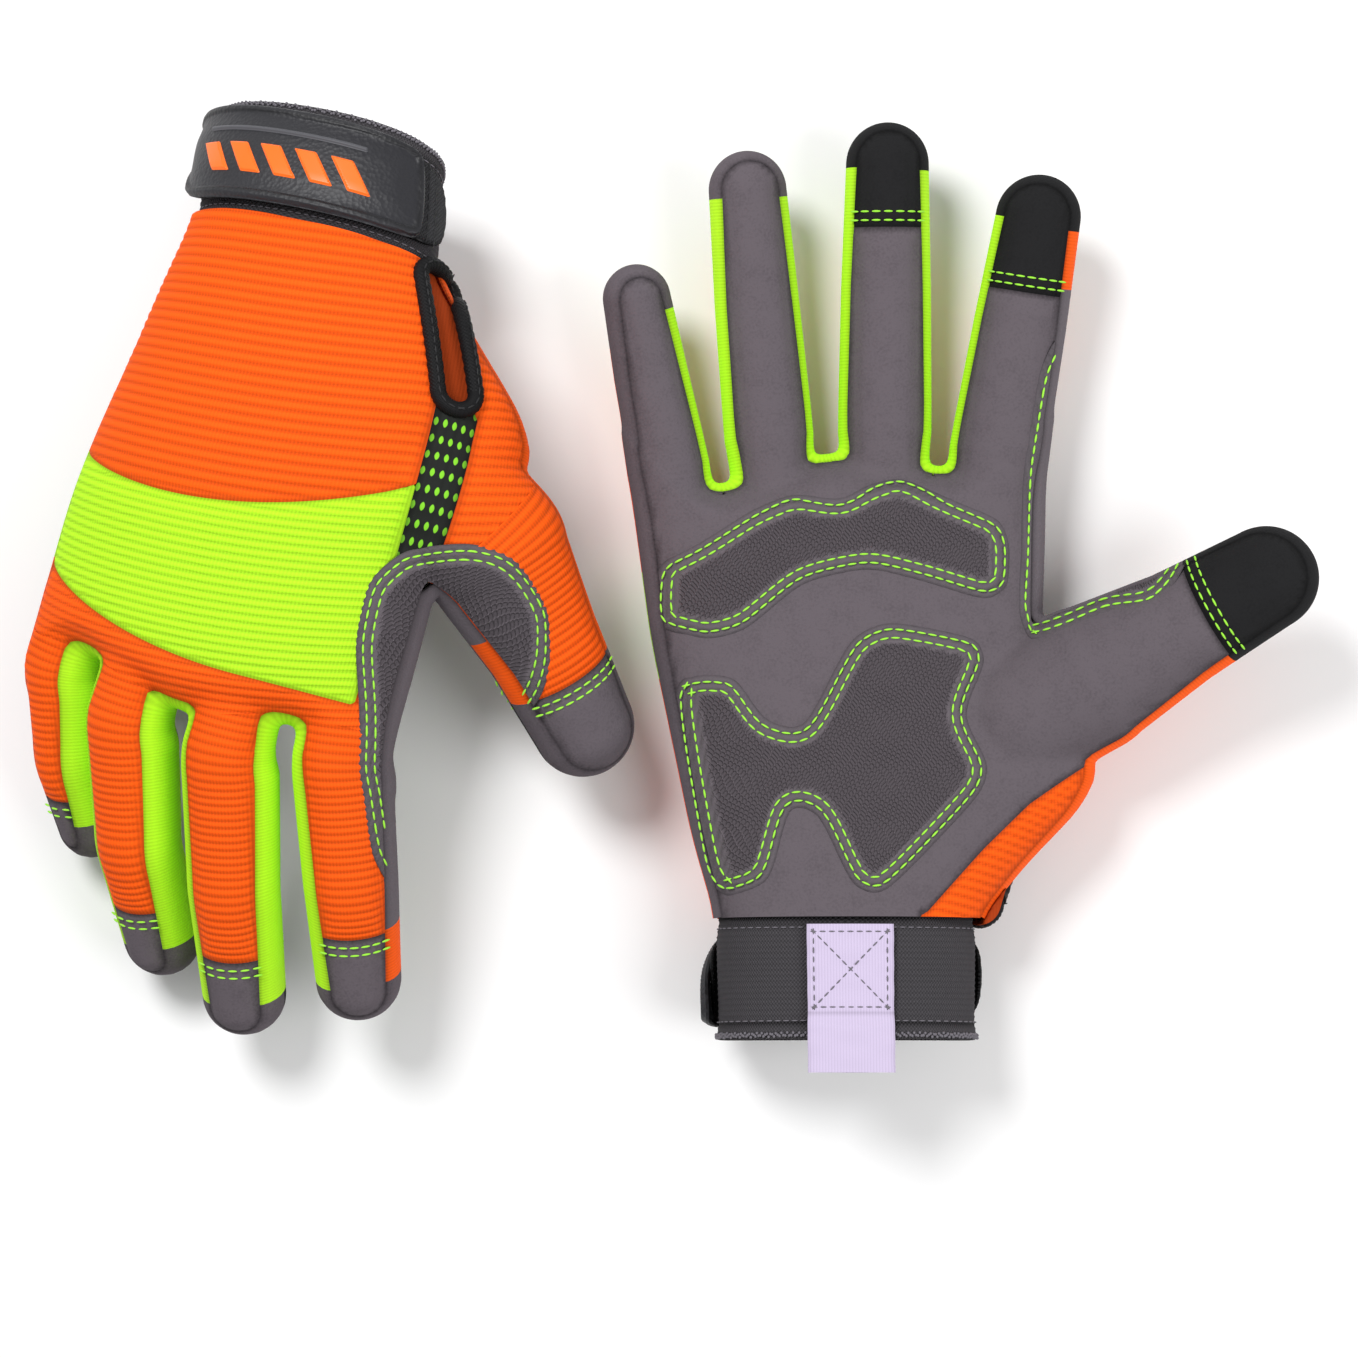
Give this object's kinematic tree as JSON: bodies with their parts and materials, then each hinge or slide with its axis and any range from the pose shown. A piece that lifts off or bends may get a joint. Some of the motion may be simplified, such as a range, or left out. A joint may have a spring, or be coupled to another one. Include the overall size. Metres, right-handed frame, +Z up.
{
  "type": "pair of work gloves",
  "caption": "Pair of high-visibility work gloves with padded synthetic-suede palms, ribbed knit backs, jointed finger sleeves and a peel-open wrist strap.",
  "frame": {"origin": "on the surface that the gloves lie on, at the middle of the pair's bounding box", "axes": "+Z up, +Y along the fingers of the glove lying palm up and away from those of the glove lying back up, +X from the back-up glove towards the palm-up glove"},
  "size_m": [0.3392, 0.2542, 0.0639],
  "materials": {
    "suede_grey": "napped synthetic suede",
    "knit_orange": "ribbed stretch knit",
    "knit_lime": "ribbed stretch knit",
    "pad_grey": "embossed suede over foam",
    "mesh_black": "open mesh with flecks",
    "elastic_grey": "woven elastic",
    "binding_black": "soft tape and hook fastener",
    "strap_rubber": "moulded, leather grain",
    "tape_lavender": "smooth folded webbing"
  },
  "bodies": {
    "back_up_hand": {"back_up.palm_panel": "suede_grey", "back_up.back_panel": "knit_orange", "back_up.back_stripe": "knit_lime", "back_up.knuckle_panel": "knit_orange", "back_up.mesh_gusset": "mesh_black", "back_up.thumb_panel": "knit_orange", "back_up.saddle_patch": "pad_grey", "back_up.knuckle_pad": "pad_grey", "back_up.heel_pad": "pad_grey", "back_up.cuff_band": "elastic_grey", "back_up.pull_tab": "tape_lavender", "back_up.loop_patch": "elastic_grey", "back_up.slit_binding": "binding_black"},
    "back_up_pinky": {"back_up.pinky_base": "knit_orange"},
    "back_up_pinky_tip": {"back_up.pinky_end": "suede_grey", "back_up.pinky_cap": "suede_grey"},
    "back_up_ring": {"back_up.ring_base": "knit_orange"},
    "back_up_ring_tip": {"back_up.ring_end": "suede_grey", "back_up.ring_cap": "suede_grey"},
    "back_up_middle": {"back_up.middle_base": "knit_orange"},
    "back_up_middle_tip": {"back_up.middle_end": "suede_grey", "back_up.middle_cap": "suede_grey"},
    "back_up_index": {"back_up.index_base": "knit_orange"},
    "back_up_index_tip": {"back_up.index_end": "suede_grey", "back_up.index_cap": "suede_grey"},
    "back_up_thumb": {"back_up.thumb_base": "knit_orange"},
    "back_up_thumb_tip": {"back_up.thumb_end": "suede_grey", "back_up.thumb_cap": "suede_grey"},
    "back_up_strap": {"back_up.strap_tab": "binding_black", "back_up.strap_cover": "strap_rubber"},
    "palm_up_hand": {"palm_up.palm_panel": "suede_grey", "palm_up.back_panel": "knit_orange", "palm_up.back_stripe": "knit_lime", "palm_up.knuckle_panel": "knit_orange", "palm_up.mesh_gusset": "mesh_black", "palm_up.thumb_panel": "knit_orange", "palm_up.saddle_patch": "pad_grey", "palm_up.knuckle_pad": "pad_grey", "palm_up.heel_pad": "pad_grey", "palm_up.cuff_band": "elastic_grey", "palm_up.pull_tab": "tape_lavender", "palm_up.loop_patch": "elastic_grey", "palm_up.slit_binding": "binding_black"},
    "palm_up_pinky": {"palm_up.pinky_base": "knit_orange"},
    "palm_up_pinky_tip": {"palm_up.pinky_end": "suede_grey", "palm_up.pinky_cap": "suede_grey"},
    "palm_up_ring": {"palm_up.ring_base": "knit_orange"},
    "palm_up_ring_tip": {"palm_up.ring_end": "suede_grey", "palm_up.ring_cap": "suede_grey"},
    "palm_up_middle": {"palm_up.middle_base": "knit_orange"},
    "palm_up_middle_tip": {"palm_up.middle_end": "suede_grey", "palm_up.middle_cap": "suede_grey"},
    "palm_up_index": {"palm_up.index_base": "knit_orange"},
    "palm_up_index_tip": {"palm_up.index_end": "suede_grey", "palm_up.index_cap": "suede_grey"},
    "palm_up_thumb": {"palm_up.thumb_base": "knit_orange"},
    "palm_up_thumb_tip": {"palm_up.thumb_end": "suede_grey", "palm_up.thumb_cap": "suede_grey"},
    "palm_up_strap": {"palm_up.strap_tab": "binding_black", "palm_up.strap_cover": "strap_rubber"}
  },
  "joints": [
    {"name": "back_up_pinky_knuckle", "type": "hinge", "parent": "back_up_hand", "child": "back_up_pinky", "pos_m": [-0.1588, -0.02169, 0.02853], "axis": [0.7917, -0.1458, 0.5933], "range_deg": [-8, 18]},
    {"name": "back_up_pinky_joint", "type": "hinge", "parent": "back_up_pinky", "child": "back_up_pinky_tip", "pos_m": [-0.15884, -0.04646, 0.02249], "axis": [0.7917, -0.1458, 0.5933], "range_deg": [-8, 18]},
    {"name": "back_up_ring_knuckle", "type": "hinge", "parent": "back_up_hand", "child": "back_up_ring", "pos_m": [-0.13896, -0.03483, 0.04036], "axis": [0.9097, -0.12, 0.3976], "range_deg": [-10, 18]},
    {"name": "back_up_ring_joint", "type": "hinge", "parent": "back_up_ring", "child": "back_up_ring_tip", "pos_m": [-0.13916, -0.06846, 0.03066], "axis": [0.9097, -0.12, 0.3976], "range_deg": [-10, 18]},
    {"name": "back_up_middle_knuckle", "type": "hinge", "parent": "back_up_hand", "child": "back_up_middle", "pos_m": [-0.1122, -0.04276, 0.04782], "axis": [0.987, -0.0608, 0.1485], "range_deg": [-10, 18]},
    {"name": "back_up_middle_joint", "type": "hinge", "parent": "back_up_middle", "child": "back_up_middle_tip", "pos_m": [-0.11292, -0.07936, 0.03762], "axis": [0.987, -0.0608, 0.1485], "range_deg": [-10, 18]},
    {"name": "back_up_index_knuckle", "type": "hinge", "parent": "back_up_hand", "child": "back_up_index", "pos_m": [-0.08356, -0.04444, 0.04839], "axis": [0.9936, 0.0636, -0.093], "range_deg": [-6, 18]},
    {"name": "back_up_index_joint", "type": "hinge", "parent": "back_up_index", "child": "back_up_index_tip", "pos_m": [-0.08219, -0.07747, 0.04043], "axis": [0.9936, 0.0636, -0.093], "range_deg": [-6, 18]},
    {"name": "back_up_thumb_knuckle", "type": "hinge", "parent": "back_up_hand", "child": "back_up_thumb", "pos_m": [-0.04383, 0.01024, 0.04313], "axis": [0.7979, 0.5324, -0.2826], "range_deg": [-4, 16]},
    {"name": "back_up_thumb_joint", "type": "hinge", "parent": "back_up_thumb", "child": "back_up_thumb_tip", "pos_m": [-0.02924, -0.0159, 0.03509], "axis": [0.7979, 0.5324, -0.2826], "range_deg": [-4, 16]},
    {"name": "back_up_strap_peel", "type": "hinge", "parent": "back_up_hand", "child": "back_up_strap", "pos_m": [-0.05968, 0.09605, 0.04419], "axis": [0.2629, 0.9572, -0.121], "range_deg": [0, 75]},
    {"name": "palm_up_pinky_knuckle", "type": "hinge", "parent": "palm_up_hand", "child": "palm_up_pinky", "pos_m": [0.00052, 0.03131, 0.01866], "axis": [0.9608, 0.2159, -0.1738], "range_deg": [-3, 55]},
    {"name": "palm_up_pinky_joint", "type": "hinge", "parent": "palm_up_pinky", "child": "palm_up_pinky_tip", "pos_m": [-0.00457, 0.05615, 0.02136], "axis": [0.9608, 0.2159, -0.1738], "range_deg": [-3, 55]},
    {"name": "palm_up_ring_knuckle", "type": "hinge", "parent": "palm_up_hand", "child": "palm_up_ring", "pos_m": [0.02717, 0.04016, 0.01534], "axis": [0.9921, 0.1002, -0.0757], "range_deg": [-3, 55]},
    {"name": "palm_up_ring_joint", "type": "hinge", "parent": "palm_up_ring", "child": "palm_up_ring_tip", "pos_m": [0.02389, 0.07487, 0.01832], "axis": [0.9921, 0.1002, -0.0757], "range_deg": [-3, 55]},
    {"name": "palm_up_middle_knuckle", "type": "hinge", "parent": "palm_up_hand", "child": "palm_up_middle", "pos_m": [0.05838, 0.04163, 0.01481], "axis": [0.9991, -0.0068, 0.042], "range_deg": [-2, 55]},
    {"name": "palm_up_middle_joint", "type": "hinge", "parent": "palm_up_middle", "child": "palm_up_middle_tip", "pos_m": [0.05854, 0.07956, 0.01717], "axis": [0.9991, -0.0068, 0.042], "range_deg": [-2, 55]},
    {"name": "palm_up_index_knuckle", "type": "hinge", "parent": "palm_up_hand", "child": "palm_up_index", "pos_m": [0.08852, 0.03576, 0.01772], "axis": [0.9728, -0.1741, 0.1527], "range_deg": [-3, 55]},
    {"name": "palm_up_index_joint", "type": "hinge", "parent": "palm_up_index", "child": "palm_up_index_tip", "pos_m": [0.09396, 0.06915, 0.0211], "axis": [0.9728, -0.1741, 0.1527], "range_deg": [-3, 55]},
    {"name": "palm_up_thumb_knuckle", "type": "hinge", "parent": "palm_up_hand", "child": "palm_up_thumb", "pos_m": [0.1118, -0.028, 0.02353], "axis": [0.4382, -0.8849, 0.1578], "range_deg": [-4, 35]},
    {"name": "palm_up_thumb_joint", "type": "hinge", "parent": "palm_up_thumb", "child": "palm_up_thumb_tip", "pos_m": [0.13797, -0.01358, 0.03176], "axis": [0.4382, -0.8849, 0.1578], "range_deg": [-4, 35]},
    {"name": "palm_up_strap_peel", "type": "hinge", "parent": "palm_up_hand", "child": "palm_up_strap", "pos_m": [0.08186, -0.1057, 0.01538], "axis": [0, -0.999, 0.0436], "range_deg": [0, 75]},
    {"name": "lift_second_glove", "type": "slide", "parent": "back_up_hand", "child": "palm_up_hand", "axis": [0, 0, 1], "range_m": [0, 0.12]}
  ],
  "couplings": [
    {"joint": "back_up_pinky_joint", "follows": "back_up_pinky_knuckle", "ratio": 1},
    {"joint": "back_up_ring_joint", "follows": "back_up_ring_knuckle", "ratio": 1},
    {"joint": "back_up_middle_joint", "follows": "back_up_middle_knuckle", "ratio": 1},
    {"joint": "back_up_index_joint", "follows": "back_up_index_knuckle", "ratio": 1},
    {"joint": "back_up_thumb_joint", "follows": "back_up_thumb_knuckle", "ratio": 1},
    {"joint": "palm_up_pinky_joint", "follows": "palm_up_pinky_knuckle", "ratio": 1},
    {"joint": "palm_up_ring_joint", "follows": "palm_up_ring_knuckle", "ratio": 1},
    {"joint": "palm_up_middle_joint", "follows": "palm_up_middle_knuckle", "ratio": 1},
    {"joint": "palm_up_index_joint", "follows": "palm_up_index_knuckle", "ratio": 1},
    {"joint": "palm_up_thumb_joint", "follows": "palm_up_thumb_knuckle", "ratio": 1}
  ]
}
